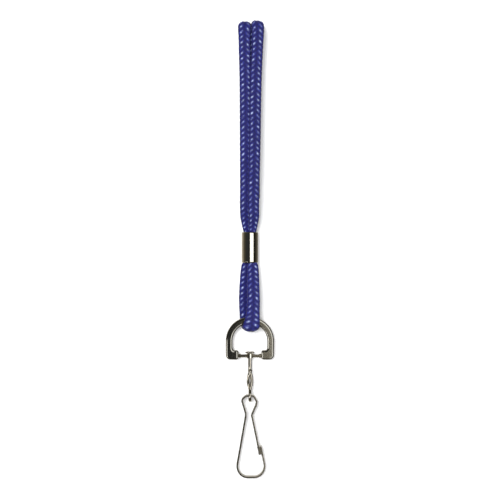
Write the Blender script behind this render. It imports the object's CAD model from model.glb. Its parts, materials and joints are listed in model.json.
"""A flat braided neck lanyard with a crimped sleeve, a D-ring, a swivel link and a snap hook."""

import json
import math

import bpy
import numpy as np
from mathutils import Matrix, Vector


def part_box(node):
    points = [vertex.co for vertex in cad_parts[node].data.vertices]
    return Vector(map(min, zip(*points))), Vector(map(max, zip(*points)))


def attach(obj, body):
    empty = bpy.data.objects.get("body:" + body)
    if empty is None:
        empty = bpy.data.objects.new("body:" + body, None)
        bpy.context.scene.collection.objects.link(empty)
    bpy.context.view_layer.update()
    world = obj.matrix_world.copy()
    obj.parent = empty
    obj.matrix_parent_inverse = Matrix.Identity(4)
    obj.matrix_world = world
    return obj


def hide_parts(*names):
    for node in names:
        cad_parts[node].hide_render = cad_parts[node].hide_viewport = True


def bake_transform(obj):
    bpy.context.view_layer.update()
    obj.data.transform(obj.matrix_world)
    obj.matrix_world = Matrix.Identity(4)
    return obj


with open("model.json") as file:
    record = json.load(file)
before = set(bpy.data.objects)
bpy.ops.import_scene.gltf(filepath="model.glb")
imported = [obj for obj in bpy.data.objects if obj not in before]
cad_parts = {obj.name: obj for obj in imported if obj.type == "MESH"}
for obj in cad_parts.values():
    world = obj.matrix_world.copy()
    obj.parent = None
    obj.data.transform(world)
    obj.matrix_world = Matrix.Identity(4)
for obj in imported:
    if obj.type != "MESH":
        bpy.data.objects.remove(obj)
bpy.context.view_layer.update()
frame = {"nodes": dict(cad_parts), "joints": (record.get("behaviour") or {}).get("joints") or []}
nodes = frame["nodes"]
MM = 0.001
X = np.array([1.0, 0.0, 0.0])  # across the lanyard


# ------------------------------------------------------- camera and light

def make_camera():
    """Straight above the lanyard, with its whole length in view."""
    data = bpy.data.cameras.new("camera")
    data.lens = 93.0
    data.sensor_width = 36.0
    camera = bpy.data.objects.new("camera", data)
    bpy.context.scene.collection.objects.link(camera)
    camera.location = (0.00005, -0.0001, 0.554)
    camera.rotation_euler = (0, 0, 0)
    bpy.context.scene.camera = camera


def soft_sun(name, way, strength, spread):
    """A soft light from far off, which the metal doesn't mirror. spread is in degrees."""
    data = bpy.data.lights.new(name, "SUN")
    data.energy = strength
    data.angle = math.radians(spread)
    light = bpy.data.objects.new(name, data)
    bpy.context.scene.collection.objects.link(light)
    light.rotation_euler = Vector(way).to_track_quat("Z", "Y").to_euler()
    light.visible_glossy = False


def mirrored_panel(name, place, size, power, colour=(1, 1, 1)):
    """A bright panel facing down, which is only a reflection in the metal."""
    data = bpy.data.lights.new(name, "AREA")
    data.shape = "RECTANGLE"
    data.size, data.size_y = size
    data.energy = power
    data.color = colour
    panel = bpy.data.objects.new(name, data)
    bpy.context.scene.collection.objects.link(panel)
    panel.location = place
    panel.visible_diffuse = False


def fill_ramp(ramp, stops):
    """Gives a colour ramp its stops, from (place, colour) pairs."""
    while len(ramp.elements) < len(stops):
        ramp.elements.new(0.5)
    for element, (place, colour) in zip(ramp.elements, stops):
        element.position = place
        element.color = (*colour, 1)


ROOM = [  # the room's colour, from straight down to straight up
    (0.0, (0.95, 0.92, 0.84)), (0.28, (0.42, 0.39, 0.32)), (0.50, (0.13, 0.11, 0.075)),
    (0.62, (0.070, 0.064, 0.045)), (0.80, (0.034, 0.034, 0.032)), (1.0, (0.026, 0.028, 0.030)),
]


def make_room(scene):
    """A dark room with a pale floor, which the metal mirrors. The camera sees plain white."""
    world = bpy.data.worlds.new("room")
    scene.world = world
    world.use_nodes = True
    tree = world.node_tree
    new = tree.nodes.new
    room = tree.nodes["Background"]
    where, parts = new("ShaderNodeTexCoord"), new("ShaderNodeSeparateXYZ")
    height = new("ShaderNodeMapRange")
    height.inputs["From Min"].default_value = -1.0
    shade = new("ShaderNodeValToRGB")
    fill_ramp(shade.color_ramp, ROOM)
    dimmer = new("ShaderNodeMapRange")  # the room's right side is darker
    dimmer.inputs["From Max"].default_value = 0.6
    dimmer.inputs["To Min"].default_value = 1.0
    dimmer.inputs["To Max"].default_value = 0.3
    white = new("ShaderNodeBackground")
    white.inputs["Color"].default_value = (1, 1, 1, 1)
    chosen, ray = new("ShaderNodeMixShader"), new("ShaderNodeLightPath")
    for source, target in (
        (where.outputs["Generated"], parts.inputs[0]),
        (parts.outputs["X"], dimmer.inputs["Value"]),
        (dimmer.outputs["Result"], room.inputs["Strength"]),
        (parts.outputs["Z"], height.inputs["Value"]),
        (height.outputs["Result"], shade.inputs[0]),
        (shade.outputs[0], room.inputs["Color"]),
        (ray.outputs["Is Camera Ray"], chosen.inputs[0]),
        (room.outputs[0], chosen.inputs[1]),
        (white.outputs[0], chosen.inputs[2]),
        (chosen.outputs[0], tree.nodes["World Output"].inputs["Surface"]),
    ):
        tree.links.new(source, target)


def make_studio():
    """Soft light on a pale floor. The floor glows faintly, which lightens the shadows."""
    scene = bpy.context.scene
    scene.view_settings.view_transform = "Standard"
    make_room(scene)
    soft_sun("key", (-0.28, 0.24, 1.18), 2.3, 22)
    soft_sun("fill", (0, 0, 1), 2.3, 75)
    mirrored_panel("panel", (0.355, 0, 0.58), (0.65, 0.9), 3.4)
    mirrored_panel("lamp", (-0.42, -0.34, 0.50), (0.34, 0.34), 1.5)
    mirrored_panel("card", (0.017, 0, 0.575), (0.030, 0.9), 0.022, (1.0, 0.88, 0.62))
    mesh = bpy.data.meshes.new("floor")
    far = 3
    corners = [(-far, -far, 0), (far, -far, 0), (far, far, 0), (-far, far, 0)]
    mesh.from_pydata(corners, [], [(0, 1, 2, 3)])
    floor = bpy.data.objects.new("floor", mesh)
    scene.collection.objects.link(floor)
    floor.visible_glossy = False
    material = bpy.data.materials.new("floor")
    material.use_nodes = True
    shader = material.node_tree.nodes["Principled BSDF"]
    shader.inputs["Base Color"].default_value = (0.92, 0.92, 0.92, 1)
    shader.inputs["Roughness"].default_value = 0.9
    shader.inputs["Specular IOR Level"].default_value = 0.1
    shader.inputs["Emission Color"].default_value = (1, 1, 1, 1)
    shader.inputs["Emission Strength"].default_value = 0.15
    mesh.materials.append(material)


# ----------------------------------------------------------- cord routes

LAYERS = [0.00098 + 0.00195 * i for i in range(5)]  # heights of the hank's layers
WINDING = [4, 0, 3, 1, 2]  # the layers in the order that a strand passes through them
HANK_TOP, HANK_LOW, HANK_SIDE = 0.09265, 0.0250, 0.0021
LEFT_FRONT, RIGHT_FRONT = -0.0023, 0.0034  # where the front strands reach the top fold
LEFT_LEG = [
    (-0.0012, 0.0064, 0.0025), (-0.0012, 0.0096, 0.0026), (-0.0018, 0.0136, 0.0050),
    (-0.0017, 0.0195, 0.0083), (-0.0016, 0.0300, 0.0086), (-0.0017, 0.0450, 0.0086),
    (-0.0019, 0.0720, 0.0086),
]
RIGHT_LEG = [
    (0.0012, 0.0064, 0.0046), (0.0012, 0.0096, 0.0047), (0.0018, 0.0132, 0.0070),
    (0.0015, 0.0195, 0.0094), (0.0017, 0.0300, 0.0096), (0.0021, 0.0450, 0.0095),
    (0.0024, 0.0720, 0.0092),
]
BIGHT = [
    (-0.0012, -0.0045, 0.0025), (-0.0014, -0.0085, 0.0025), (-0.0019, -0.0150, 0.0014),
    (-0.0021, -0.0245, 0.00105), (-0.0011, -0.0308, 0.00097), (0.0002, -0.0341, 0.0010),
    (0.0005, -0.0341, 0.0074), (0.0010, -0.0308, 0.0075), (0.0016, -0.0245, 0.0074),
    (0.0015, -0.0155, 0.0067), (0.0013, -0.0087, 0.0047), (0.0012, -0.0045, 0.0046),
]


def hank_points(side, front):
    """One strand wound round the hank, from the front layer in to the middle one.

    side is the strand's place across the hank, and front its place at the first fold."""
    points = []
    for turn, (here, there) in enumerate(zip(WINDING, WINDING[1:])):
        low, high = LAYERS[here], LAYERS[there]
        reach = abs(high - low) / 2
        sign, end = (1, HANK_TOP) if turn % 2 == 0 else (-1, HANK_LOW)
        before = front if turn == 0 else side
        after = (front + side) / 2 if turn == 0 else side
        points += [
            (before, end - sign * reach, low), (before, end + sign * reach, low),
            (after, end + sign * reach, high), (side, end - sign * reach, high),
        ]
    return points


def neck_points():
    """Up the left strand, in round the hank, over the neck loop's end and back."""
    left = LEFT_LEG + hank_points(-HANK_SIDE, LEFT_FRONT)
    right = RIGHT_LEG + hank_points(HANK_SIDE, RIGHT_FRONT)
    end, middle = HANK_TOP - 0.0018, LAYERS[2]
    turn = [
        (-HANK_SIDE, end - 2 * HANK_SIDE, middle), (-HANK_SIDE, end, middle),
        (HANK_SIDE, end, middle), (HANK_SIDE, end - 2 * HANK_SIDE, middle),
    ]
    return left + turn + right[::-1]


def nurbs_line(name, points):
    """The smooth line that a cord follows, as a curve, and the points along it."""
    curve = bpy.data.curves.new(name, "CURVE")
    curve.dimensions = "3D"
    curve.resolution_u = 24
    spline = curve.splines.new("NURBS")
    spline.points.add(len(points) - 1)
    for place, point in zip(points, spline.points):
        point.co = (*place, 1.0)
    spline.order_u = 3
    spline.use_endpoint_u = True
    holder = bpy.data.objects.new(name, curve)
    mesh = bpy.data.meshes.new_from_object(holder)
    line = np.empty(len(mesh.vertices) * 3)
    mesh.vertices.foreach_get("co", line)
    bpy.data.meshes.remove(mesh)
    bpy.data.objects.remove(holder)
    bpy.data.curves.remove(curve)
    return line.reshape(-1, 3)


def lengths_along(line):
    """The distance along the line of each of its points."""
    steps = np.linalg.norm(np.diff(line, axis=0), axis=1)
    return np.concatenate([[0.0], np.cumsum(steps)])


def evenly(line, step):
    """The same line at even steps, with the distance along it of each point."""
    along = lengths_along(line)
    count = int(along[-1] / step) + 1
    at = np.linspace(0, along[-1], count)
    return np.stack([np.interp(at, along, line[:, i]) for i in range(3)], 1), at


def graded(at, pairs):
    """The values at some places, from (place, value) pairs."""
    places, values = zip(*pairs)
    return np.interp(at, places, values)


def unit(v):
    return v / np.linalg.norm(v, axis=-1, keepdims=True)


def carried_frames(line):
    """Width and thickness directions, which start across and don't twist on the way."""
    ways = unit(np.gradient(line, axis=0))
    widths = np.empty_like(line)
    width = X
    for i, way in enumerate(ways):
        width = width - way * (width @ way)
        width /= np.linalg.norm(width)
        widths[i] = width
    return widths, np.cross(ways, widths)


def level_frames(line):
    """Width and thickness directions, with the width kept level."""
    ways = unit(np.gradient(line, axis=0))
    widths = unit(X - ways * (ways @ X)[:, None])
    return widths, np.cross(ways, widths)


# ------------------------------------------------------------ mesh tools

def new_object(name, points, faces, material, body=None, attributes=None):
    """A smooth mesh that rides on a body. attributes are numbers for each point, by name."""
    mesh = bpy.data.meshes.new(name)
    mesh.from_pydata(points.tolist(), [], faces)
    for label, values in (attributes or {}).items():
        layer = mesh.attributes.new(label, "FLOAT", "POINT")
        layer.data.foreach_set("value", np.ascontiguousarray(values, np.float32).ravel())
    mesh.polygons.foreach_set("use_smooth", [True] * len(mesh.polygons))
    mesh.materials.append(material)
    mesh.update()
    made = bpy.data.objects.new(name, mesh)
    bpy.context.scene.collection.objects.link(made)
    if body:
        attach(made, body)
    return made


def tube_faces(rings, count):
    """Quads between closed rings of points, with a fan's face over each end."""
    ring, spot = np.meshgrid(np.arange(rings - 1), np.arange(count), indexing="ij")
    following = (spot + 1) % count
    quads = np.stack([
        ring * count + spot, ring * count + following,
        (ring + 1) * count + following, (ring + 1) * count + spot], -1)
    faces = quads.reshape(-1, 4).tolist()
    faces.append(list(range(count))[::-1])
    faces.append([(rings - 1) * count + i for i in range(count)])
    return faces


def even_section(power, aspect, count):
    """Points evenly round a flattened loop of half-width 1: across, up."""
    angle = np.linspace(0, 2 * np.pi, 721)
    across, up = (np.sign(wave) * np.abs(wave) ** power for wave in (np.cos(angle), np.sin(angle)))
    along = lengths_along(np.stack([across, up * aspect], 1))
    at = np.linspace(0, along[-1], count, endpoint=False)
    return np.interp(at, along, across), np.interp(at, along, up)


# ------------------------------------------------------------- materials

class Shader:
    """A node material being built."""

    def __init__(self, name):
        self.material = bpy.data.materials.new(name)
        self.material.use_nodes = True
        self.tree = self.material.node_tree
        self.principled = self.tree.nodes["Principled BSDF"]

    def node(self, kind, **settings):
        made = self.tree.nodes.new(kind)
        for key, value in settings.items():
            setattr(made, key, value)
        return made

    def link(self, source, target):
        self.tree.links.new(source, target)

    def math(self, operation, *values):
        made = self.node("ShaderNodeMath", operation=operation)
        for socket, value in zip(made.inputs, values):
            if isinstance(value, (int, float)):
                socket.default_value = value
            else:
                self.link(value, socket)
        return made.outputs[0]

    def ramp(self, source, stops):
        made = self.node("ShaderNodeValToRGB")
        fill_ramp(made.color_ramp, stops)
        self.link(source, made.inputs[0])
        return made.outputs[0]

    def noise(self, scale, detail):
        made = self.node("ShaderNodeTexNoise")
        made.inputs["Scale"].default_value = scale
        made.inputs["Detail"].default_value = detail
        self.link(self.node("ShaderNodeTexCoord").outputs["Object"], made.inputs["Vector"])
        return made.outputs["Fac"]

    def attribute(self, name):
        return self.node("ShaderNodeAttribute", attribute_name=name).outputs["Fac"]

    def mix(self, factor, first, second):
        made = self.node("ShaderNodeMix", data_type="RGBA")
        for socket, value in ((made.inputs[0], factor), (made.inputs[6], first),
                              (made.inputs[7], second)):
            if isinstance(value, tuple):
                socket.default_value = (*value, 1)
            elif isinstance(value, (int, float)):
                socket.default_value = value
            else:
                self.link(value, socket)
        return made.outputs[2]

    def bump(self, height, distance, strength):
        made = self.node("ShaderNodeBump")
        made.inputs["Strength"].default_value = strength
        made.inputs["Distance"].default_value = distance
        self.link(height, made.inputs["Height"])
        self.link(made.outputs[0], self.principled.inputs["Normal"])

    def set(self, **values):
        for name, value in values.items():
            socket = self.principled.inputs[name.replace("_", " ")]
            if hasattr(value, "is_linked"):
                self.link(value, socket)
            else:
                socket.default_value = (*value, 1) if isinstance(value, tuple) else value
        return self.material


def cord_material():
    """Royal blue knitted polyester: dark between the bundles, pale on their crowns."""
    s = Shader("blue_cord")
    crown, yarn, pale = (s.attribute(name) for name in ("crown", "yarn", "fleck"))
    line = s.math("PINGPONG", s.math("MULTIPLY", yarn, 4.0), 0.5)
    patch = s.noise(900, 2)
    body = s.ramp(crown, [(0.0, (0.003, 0.003, 0.022)), (0.36, (0.008, 0.010, 0.115)),
                          (0.75, (0.015, 0.021, 0.225)), (1.0, (0.023, 0.034, 0.300))])
    grain = s.ramp(s.noise(1500, 2), [(0.38, (0, 0, 0)), (0.58, (1, 1, 1))])
    grained = s.mix(grain, (0.007, 0.008, 0.088), body)
    shade = s.mix(s.math("MULTIPLY", patch, 0.4), grained, (0.028, 0.020, 0.160))
    streak = s.mix(s.math("MULTIPLY", s.math("SUBTRACT", 0.5, line), 0.6), shade,
                   (0.007, 0.007, 0.050))
    worn = s.ramp(patch, [(0.38, (0.12, 0.12, 0.12)), (0.60, (1, 1, 1))])
    colour = s.mix(s.math("MULTIPLY", pale, worn), streak, (0.60, 0.72, 1.0))
    fuzz = s.noise(5200, 3)
    s.bump(s.math("ADD", line, s.math("MULTIPLY", fuzz, 0.5)), 0.00012, 0.7)
    return s.set(Base_Color=colour, Roughness=0.6, Sheen_Weight=0.12, Sheen_Roughness=0.4,
                 Specular_IOR_Level=0.25)


def nickel(name, tint, roughness):
    """Bright nickel plating with faint handling wear."""
    s = Shader(name)
    wear = s.noise(420, 5)
    fine = s.noise(3800, 2)
    colour = s.ramp(wear, [(0.3, tuple(0.86 * c for c in tint)), (0.65, tint)])
    rough = s.ramp(wear, [(0.3, (roughness * 1.3,) * 3), (0.6, (roughness,) * 3)])
    s.bump(fine, 0.000015, 0.25)
    return s.set(Base_Color=colour, Metallic=1.0, Roughness=rough)


def rubber_material():
    """A thin elastic band of dark blue rubber."""
    s = Shader("dark_band")
    grain = s.noise(2500, 4)
    s.bump(grain, 0.00005, 0.5)
    colour = s.ramp(grain, [(0.3, (0.012, 0.013, 0.04)), (0.7, (0.03, 0.032, 0.08))])
    return s.set(Base_Color=colour, Roughness=0.7)


# ------------------------------------------------------------- the cords

STITCH = 0.00225  # length of one bundle along the cord
COLUMN = 0.00235  # width of one column of bundles
FLECK = (0.00050, 0.00019)  # half-length and half-width of a pale fleck
FLECK_ANGLE = math.radians(64)  # from straight across the cord
COLUMN_STARTS = np.array([0.5, 0.0, 0.5, 0.0])  # how far each column is ahead, in bundles
SLANT = 1.05  # how far a bundle climbs across its column, in bundles
RELIEF = 0.00024  # how far a bundle's crown stands out from the grooves
SQUARENESS, FLATNESS = 0.8, 0.42  # of the tube's section
RIM = 0.80  # where the tube's dark edge starts, from its middle
AROUND = 44  # points round the tube


def knitted_tube(line, frames, width, thick, roll, climb, shift, dome):
    """A flattened knitted tube. Its bundles slant up to the middle of each face.

    climb is the distance along the cord that the bundles are counted by, and shift how
    far the knit is turned round the tube. dome gives how far each side of a fold hangs back."""
    widths, ups = frames
    cos, sin = np.cos(roll)[:, None], np.sin(roll)[:, None]
    across, up = widths * cos + ups * sin, ups * cos - widths * sin
    side, lift = even_section(SQUARENESS, FLATNESS, AROUND)
    index = (np.arange(AROUND)[None, :] / AROUND + shift[:, None]) % 1.0
    columns = len(COLUMN_STARTS)
    column = np.floor(index * columns).astype(int)
    within = index * columns - column
    inward = np.where(column % 2 == 0, within, 1 - within)
    phase = climb[:, None] / STITCH + COLUMN_STARTS[column] - SLANT * inward
    turn = phase - np.floor(phase)
    ridge = 1 - np.abs(2 * turn - 1) ** 2.4
    crown = ridge * (1 - 0.75 * np.abs(2 * inward - 1) ** 3.0)
    half_wide, half_thick = width[:, None] / 2, thick[:, None] / 2
    bump = (crown - 0.6) * RELIEF
    outward = unit(np.stack([side * 0.55, lift], 1))
    out_x = side[None, :] * half_wide + bump * outward[None, :, 0]
    out_z = lift[None, :] * half_thick + bump * outward[None, :, 1]
    points = (line[:, None, :] + across[:, None, :] * out_x[..., None]
              + up[:, None, :] * out_z[..., None])
    points[..., 1] += dome(side[None, :])
    wave = 0.5 + 0.5 * np.sin(np.floor(phase) * 2.399 + column * 1.7)
    off_x = (inward - 0.58) * COLUMN
    off_y = (turn - 0.5) * STITCH + off_x
    along, over = math.sin(FLECK_ANGLE), math.cos(FLECK_ANGLE)
    spot = np.exp(-((off_x * over + off_y * along) / FLECK[0]) ** 2
                  - ((off_x * along - off_y * over) / FLECK[1]) ** 2)
    rim = np.clip((np.abs(side) - RIM) / (1 - RIM), 0, 1)[None, :]
    fleck = np.clip(spot * (0.55 + 0.45 * wave), 0, 1) * (1 - 0.6 * rim)
    crown = crown * (1 - 0.8 * rim)
    numbers = {"crown": crown, "yarn": phase, "fleck": fleck}
    return points.reshape(-1, 3), tube_faces(len(line), AROUND), numbers


def squeeze_hank(points):
    """The tie draws the wound strands in where it goes round them."""
    top, edge, reach = 0.0080, 0.00008, 0.0026  # the wound layers' top, and the tie's pull
    low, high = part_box("hank_tie")
    place, centre = (low.y + high.y) / 2, (low.z + high.z) / 2
    wound = 1 / (1 + np.exp((points[:, 2] - top) / edge))
    near = np.exp(-((points[:, 1] - place) / reach) ** 2) * wound
    points[:, 0] *= 1 - 0.10 * near
    points[:, 2] += (centre - points[:, 2]) * 0.13 * near
    return points


FRONT_WIDTH = [  # place up the lanyard, and the width of a front strand there
    (0.0064, 0.0029), (0.0080, 0.0031), (0.0100, 0.0040), (0.0140, 0.0048), (0.0200, 0.0052),
    (0.045, 0.0052), (0.072, 0.0050), (0.088, 0.0051), (0.0965, 0.0057),
]
RIGHT_WIDER = [(0.02, 0), (0.03, 0.0003), (0.07, 0.0004), (0.085, 0)]


def make_neck_cord(material):
    """Both front strands and the wound spare length between them."""
    line, along = evenly(nurbs_line("neck_route", neck_points()), 0.00021)
    total = along[-1]
    from_end = np.minimum(along, total - along)
    half = total / 2
    fold = along[np.argmax(np.where(along < 0.11, line[:, 1], 0))]
    left, rise = along < half, line[:, 1]
    front = graded(rise, FRONT_WIDTH) + np.where(left, 0, graded(rise, RIGHT_WIDER))
    wound = graded(from_end - fold, [
        (0, 0.0057), (0.008, 0.0049), (0.022, 0.00415), (half - fold - 0.008, 0.00415),
        (half - fold, 0.0031)])
    width = np.where(from_end < fold, front, wound)
    thick = graded(from_end, [
        (0, 0.0027), (0.002, 0.0026), (0.006, 0.0022), (0.012, 0.0019), (fold - 0.01, 0.0019),
        (fold, 0.0017), (fold + 0.012, 0.0018), (half - 0.01, 0.0018), (half, 0.0026)])
    lean = graded(from_end, [
        (0, 0), (0.010, 8), (0.022, 17), (0.045, 15), (fold - 0.012, 5), (fold, 0)])
    roll = np.radians(np.where(left, lean * 0.45, -lean))
    shift = np.where(left, 0.0, -0.04)
    near = np.exp(-((from_end - fold) / 0.006) ** 2)
    outer = np.where(left, -1, 1)[:, None]

    def dome(side):
        hang = np.where(side * outer > 0, 0.0016, 0.0006)
        return -near[:, None] * np.abs(side) ** 3 * hang

    points, faces, numbers = knitted_tube(
        line, carried_frames(line), width, thick, roll, from_end, shift, dome)
    points[:, 1] -= np.repeat(np.where(left, 0.0004, 0) * near, AROUND)
    cord = new_object("neck_cord", squeeze_hank(points), faces, material, "cord", numbers)
    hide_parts("cord_leg_left", "cord_leg_right", "cord_hank")


def make_bight(material):
    """The loop of the cord through the ring."""
    line, along = evenly(nurbs_line("bight_route", BIGHT), 0.00019)
    total = along[-1]
    half = total / 2
    width = graded(along, [
        (0, 0.0030), (0.0009, 0.0034), (0.0020, 0.0046), (0.0045, 0.0051), (0.011, 0.0053),
        (0.022, 0.0055), (half, 0.0080), (total - 0.022, 0.0056), (total - 0.011, 0.0053),
        (total - 0.0045, 0.0050), (total - 0.0020, 0.0046), (total - 0.0009, 0.0034),
        (total, 0.0030)])
    thick = graded(along, [
        (0, 0.0027), (0.002, 0.0026), (0.008, 0.0020), (half - 0.006, 0.0019), (half, 0.0017),
        (half + 0.006, 0.0019), (total - 0.008, 0.0020), (total - 0.002, 0.0026),
        (total, 0.0027)])
    near, none = np.exp(-((along - half) / 0.0055) ** 2), np.zeros(len(along))

    def dome(side):
        return 0.0014 * near[:, None] * side ** 2

    points, faces, numbers = knitted_tube(
        line, level_frames(line), width, thick, none, np.abs(along - half), none, dome)
    cord = new_object("cord_loop", points, faces, material, "cord", numbers)
    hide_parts("cord_bight")


# --------------------------------------------------------------- the link

WIRE, SHAFT = 0.0006, 0.00075  # radii of the link's wire and of its shaft
EYE_RADIUS, LEG_SPREAD, LEAF_TURN = 0.0022, 0.00082, math.radians(172)
LEAF_TOP, WRAP_TOP = 0.0068, 0.0055  # below the cross bar
SHAFT_PROFILE = [  # distance below the cross bar's axis, and radius
    (-0.0011, 0.0005), (-0.00105, 0.00066), (-0.0009, 0.00075), (0.0030, SHAFT),
    (0.0052, SHAFT), (0.0058, 0.00068), (0.0062, 0.0004),
]
LOBE_ACROSS, LOBE_ABOVE = 0.00085, 0.00145  # from the cross bar's middle
LOBE_RADII = np.array([0.00115, 0.00045, 0.00095])
WIRE_TAPER, TIP_SHARE = 0.0012, 0.55  # length of the wire's tapered ends, and their tips' width


def joint_places():
    """Where each joint is, by its name."""
    return {joint["name"]: np.array(joint["pos_m"], float) for joint in frame["joints"]}


def wire_points(bar, eye):
    """Down one leg, round the eye and up the other leg, the two twisted half a turn."""
    low, leaf_top, wrap_top = eye[1] + EYE_RADIUS + 0.0003, bar[1] - LEAF_TOP, bar[1] - WRAP_TOP
    leg = []
    for y in np.linspace(leaf_top, low, 9):
        share = (y - low) / (leaf_top - low)
        leg.append((y, LEAF_TURN * share, LEG_SPREAD * (1 - 0.22 * share ** 4)))
    wrap = [(leaf_top + (wrap_top - leaf_top) * share, LEAF_TURN + math.pi * share,
             LEG_SPREAD * (0.76 - 0.40 * share)) for share in (1.0, 0.66, 0.33)]
    down, up = [], []
    for y, turn, reach in wrap + leg:
        across, rise = reach * math.sin(turn), reach * math.cos(turn)
        down.append((eye[0] + across, y, eye[2] + rise))
        up.append((eye[0] - across, y, eye[2] - rise))
    loop = [(eye[0], eye[1] + EYE_RADIUS * math.cos(a), eye[2] + EYE_RADIUS * math.sin(a))
            for a in np.radians(np.linspace(46, 314, 13))]
    return down + loop + up[::-1]


def round_section(count):
    """Points evenly round a circle of radius 1."""
    angle = np.linspace(0, 2 * np.pi, count, endpoint=False)
    return np.cos(angle), np.sin(angle)


def round_wire(points):
    """The link's wire along a smooth line through the points' corners, tapered at its ends."""
    line, along = evenly(nurbs_line("wire_route", points), 0.00012)
    across, up = carried_frames(line)
    from_end = np.minimum(along, along[-1] - along)
    thick = WIRE * np.interp(from_end, [0, WIRE_TAPER], [TIP_SHARE, 1])
    count = 20
    side, lift = round_section(count)
    mesh = (line[:, None] + across[:, None] * (side[None, :, None] * thick[:, None, None])
            + up[:, None] * (lift[None, :, None] * thick[:, None, None]))
    return mesh.reshape(-1, 3), tube_faces(len(line), count)


def turned(profile, middle, count=48):
    """A body turned about Y through middle, from (distance down Y, radius) pairs."""
    side, lift = round_section(count)
    rings = [np.stack([middle[0] + radius * side, np.full(count, middle[1] - down),
                       middle[2] + radius * lift], 1) for down, radius in profile]
    return np.concatenate(rings), tube_faces(len(profile), count)


def egg(middle, radii, count=24):
    """A smooth lobe, turned along Y and flattened."""
    tip = 0.02  # radians left open at each end
    angle = np.linspace(tip, math.pi - tip, count // 2)
    points, faces = turned([(-math.cos(a), math.sin(a)) for a in angle], (0, 0, 0), count)
    return points * radii + middle, faces


def joined(meshes):
    """Several closed bodies as one mesh."""
    points, faces, start = [], [], 0
    for spots, sides in meshes:
        points.append(spots)
        faces += [[start + i for i in side] for side in sides]
        start += len(spots)
    return np.concatenate(points), faces


def make_link(material):
    """A wire bent double: its ends splayed over the boss, its bend the hook's eye."""
    places = joint_places()
    bar, eye = places["link_spin"], places["hook_swing"]
    shaft = turned(SHAFT_PROFILE, bar)
    lobes = [egg(bar + np.array([side * LOBE_ACROSS, LOBE_ABOVE, 0]), LOBE_RADII)
             for side in (-1, 1)]
    points, faces = joined([shaft, round_wire(wire_points(bar, eye))] + lobes)
    link = new_object("link_wire", points, faces, material, "link")
    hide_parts("swivel_link")


# --------------------------------------------------------------- the hook

HOOK_LINE = [  # across, along, bend radius, from the hook's pivot: catch, bow, eye and root
    (4.6, -21.6, 0), (6.65, -31.5, 5.0), (3.75, -34.9, 4.3), (-3.0, -34.9, 4.3),
    (-5.7, -31.4, 5.0), (-1.8, -8.9, 2.5), (-1.8, -7.3, 2.0), (-3.55, -1.6, 1.6),
    (-1.6, 0.0, 0.9), (1.5, 0.0, 0.9), (2.95, -2.4, 1.6), (2.6, -4.1, 1.5), (1.0, -7.7, 0),
]
GATE_LINE = [
    (1.35, -6.9, 0), (0.78, -8.35, 0.5), (2.6, -16.9, 60.0), (4.15, -25.1, 0),
]
STRIP_THICK, STRIP_DEPTH, STRIP_EDGE = 0.00075, 0.003, 0.00009
CATCH = {"across": 0.00512, "reach": 0.0248, "lean": 10.6, "length": 0.0032,
         "width": 0.00175, "ear": 0.00045, "inside": 0.00156}


def rounded_line(corners, step=0.0005):
    """A flat line through corners given in millimetres, rounded with arcs, in small steps."""
    spots = [np.array(corner[:2]) * MM for corner in corners]
    line = [spots[0]]
    for before, here, after, corner in zip(spots, spots[1:], spots[2:], corners[1:]):
        to_before, to_after = unit(before - here), unit(after - here)
        half = math.acos(np.clip(to_before @ to_after, -1, 1)) / 2
        radius = corner[2] * MM
        middle = here + unit(to_before + to_after) * radius / math.sin(half)
        start = here + to_before * radius / math.tan(half) - middle
        end = here + to_after * radius / math.tan(half) - middle
        turn = math.acos(np.clip(unit(start) @ unit(end), -1, 1))
        for share in np.linspace(0, 1, 9):
            blend = np.sin((1 - share) * turn) * start + np.sin(share * turn) * end
            line.append(middle + blend / math.sin(turn))
    line.append(spots[-1])
    flat = np.pad(np.array(line), ((0, 0), (0, 1)))
    return evenly(flat, step)[0]


def rounded_box(wide, tall, radius, steps=4):
    """The section of a strip with rounded edges. A point near each edge keeps the flats flat."""
    turn = np.linspace(0, np.pi / 2, steps + 1)
    rim = 0.2 * radius
    points = []
    for quarter, (sx, sy) in enumerate(((1, 1), (-1, 1), (-1, -1), (1, -1))):
        middle = np.array([sx * (wide / 2 - radius), sy * (tall / 2 - radius)])
        angle = turn + quarter * np.pi / 2
        arc = middle + radius * np.stack([np.cos(angle), np.sin(angle)], 1)
        first, last = arc[0], arc[-1]
        way_in = np.array([-math.sin(angle[0]), math.cos(angle[0])])
        way_out = np.array([-math.sin(angle[-1]), math.cos(angle[-1])])
        points += [first - way_in * rim, *arc, last + way_out * rim]
    return np.array(points)


def hook_frame():
    """The hook's pivot, and the three directions that its line is drawn in."""
    axes = {joint["name"]: np.array(joint["axis"], float) for joint in frame["joints"]}
    up = unit(axes["gate_flex"])
    return joint_places()["hook_swing"], X, np.cross(up, X), up


def strip_mesh(corners):
    """A flat strip of spring metal bent along a line, with rounded edges and ends."""
    pivot, right, forward, up = hook_frame()
    line = rounded_line(corners)
    along = lengths_along(line)
    ways = unit(np.gradient(line, axis=0))
    lefts = np.stack([-ways[:, 1], ways[:, 0]], 1)
    section = rounded_box(STRIP_THICK, STRIP_DEPTH, STRIP_EDGE)
    to_end = np.minimum(along, along[-1] - along) / (STRIP_THICK / 2)
    shrink = np.sqrt(1 - np.clip(1 - to_end, 0, 0.95) ** 2)
    wide = section[None, :, 0] * shrink[:, None]
    flat_x = line[:, 0, None] + lefts[:, 0, None] * wide
    flat_y = line[:, 1, None] + lefts[:, 1, None] * wide
    rise = np.broadcast_to(section[None, :, 1], flat_x.shape)
    points = (pivot + flat_x[..., None] * right + flat_y[..., None] * forward
              + rise[..., None] * up)
    return points.reshape(-1, 3), tube_faces(len(line), len(section))


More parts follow.
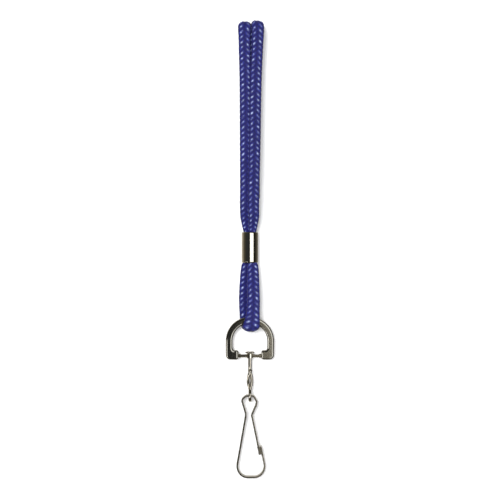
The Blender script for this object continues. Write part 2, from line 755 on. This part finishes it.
def make_catch(material):
    """The cupped end of the strip that the gate's tip closes into."""
    pivot, right, forward, up = hook_frame()
    lean = math.radians(CATCH["lean"])
    out = right * math.cos(lean) + forward * math.sin(lean)
    way = forward * math.cos(lean) - right * math.sin(lean)
    foot = pivot + right * CATCH["across"] - forward * CATCH["reach"]
    back, mouth = STRIP_THICK / 2, STRIP_THICK / 2 - CATCH["width"]
    inside, outside = CATCH["inside"], CATCH["inside"] + CATCH["ear"]
    outline = [
        (back, -outside), (back, outside), (mouth, outside), (mouth, inside),
        (-back, inside), (-back, -inside), (mouth, -inside), (mouth, -outside),
    ]
    points = np.array([
        foot + way * end + out * across + up * rise
        for end in (0, CATCH["length"]) for across, rise in outline])
    count = len(outline)
    sides = [(i, (i + 1) % count, count + (i + 1) % count, count + i) for i in range(count)]
    low, high = list(range(count)), list(range(2 * count))[:count - 1:-1]
    cup = new_object("hook_catch", points, sides + [low, high], material, "hook")
    bevel = cup.modifiers.new("rounded_edges", "BEVEL")
    bevel.width, bevel.segments, bevel.limit_method = 0.00013, 3, "ANGLE"
    bevel.harden_normals = True


def make_hook(material):
    """The hook's strip, from its catch round the bow and the eye to the gate's root."""
    points, faces = strip_mesh(HOOK_LINE)
    hook = new_object("hook_strip", points, faces, material, "hook")
    make_catch(material)
    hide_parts("hook_body")


def make_gate(material):
    """The springy leg, which bends where it leaves the hook's strip."""
    points, faces = strip_mesh(GATE_LINE)
    gate = new_object("gate_strip", points, faces, material)
    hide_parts("hook_gate")
    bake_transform(gate)


make_camera()
make_studio()
CORD = cord_material()
NICKEL = nickel("nickel", (0.76, 0.72, 0.63), 0.08)
LINK_NICKEL = nickel("link_nickel", (0.60, 0.56, 0.48), 0.08)
HOOK_NICKEL = nickel("hook_nickel", (0.36, 0.34, 0.30), 0.10)
DARK_NICKEL = nickel("dark_nickel", (0.40, 0.385, 0.34), 0.085)
make_neck_cord(CORD)
make_bight(CORD)
make_link(LINK_NICKEL)
make_hook(HOOK_NICKEL)
make_gate(HOOK_NICKEL)


def paint(name, material):
    """Gives a CAD node its only material."""
    mesh = nodes[name].data
    mesh.materials.clear()
    mesh.materials.append(material)


for name, material in (
    ("hank_tie", rubber_material()), ("crimp_ferrule", NICKEL), ("crimped_strands", CORD),
    ("d_ring", DARK_NICKEL), ("swivel_bar", NICKEL),
):
    paint(name, material)

bpy.context.view_layer.update()
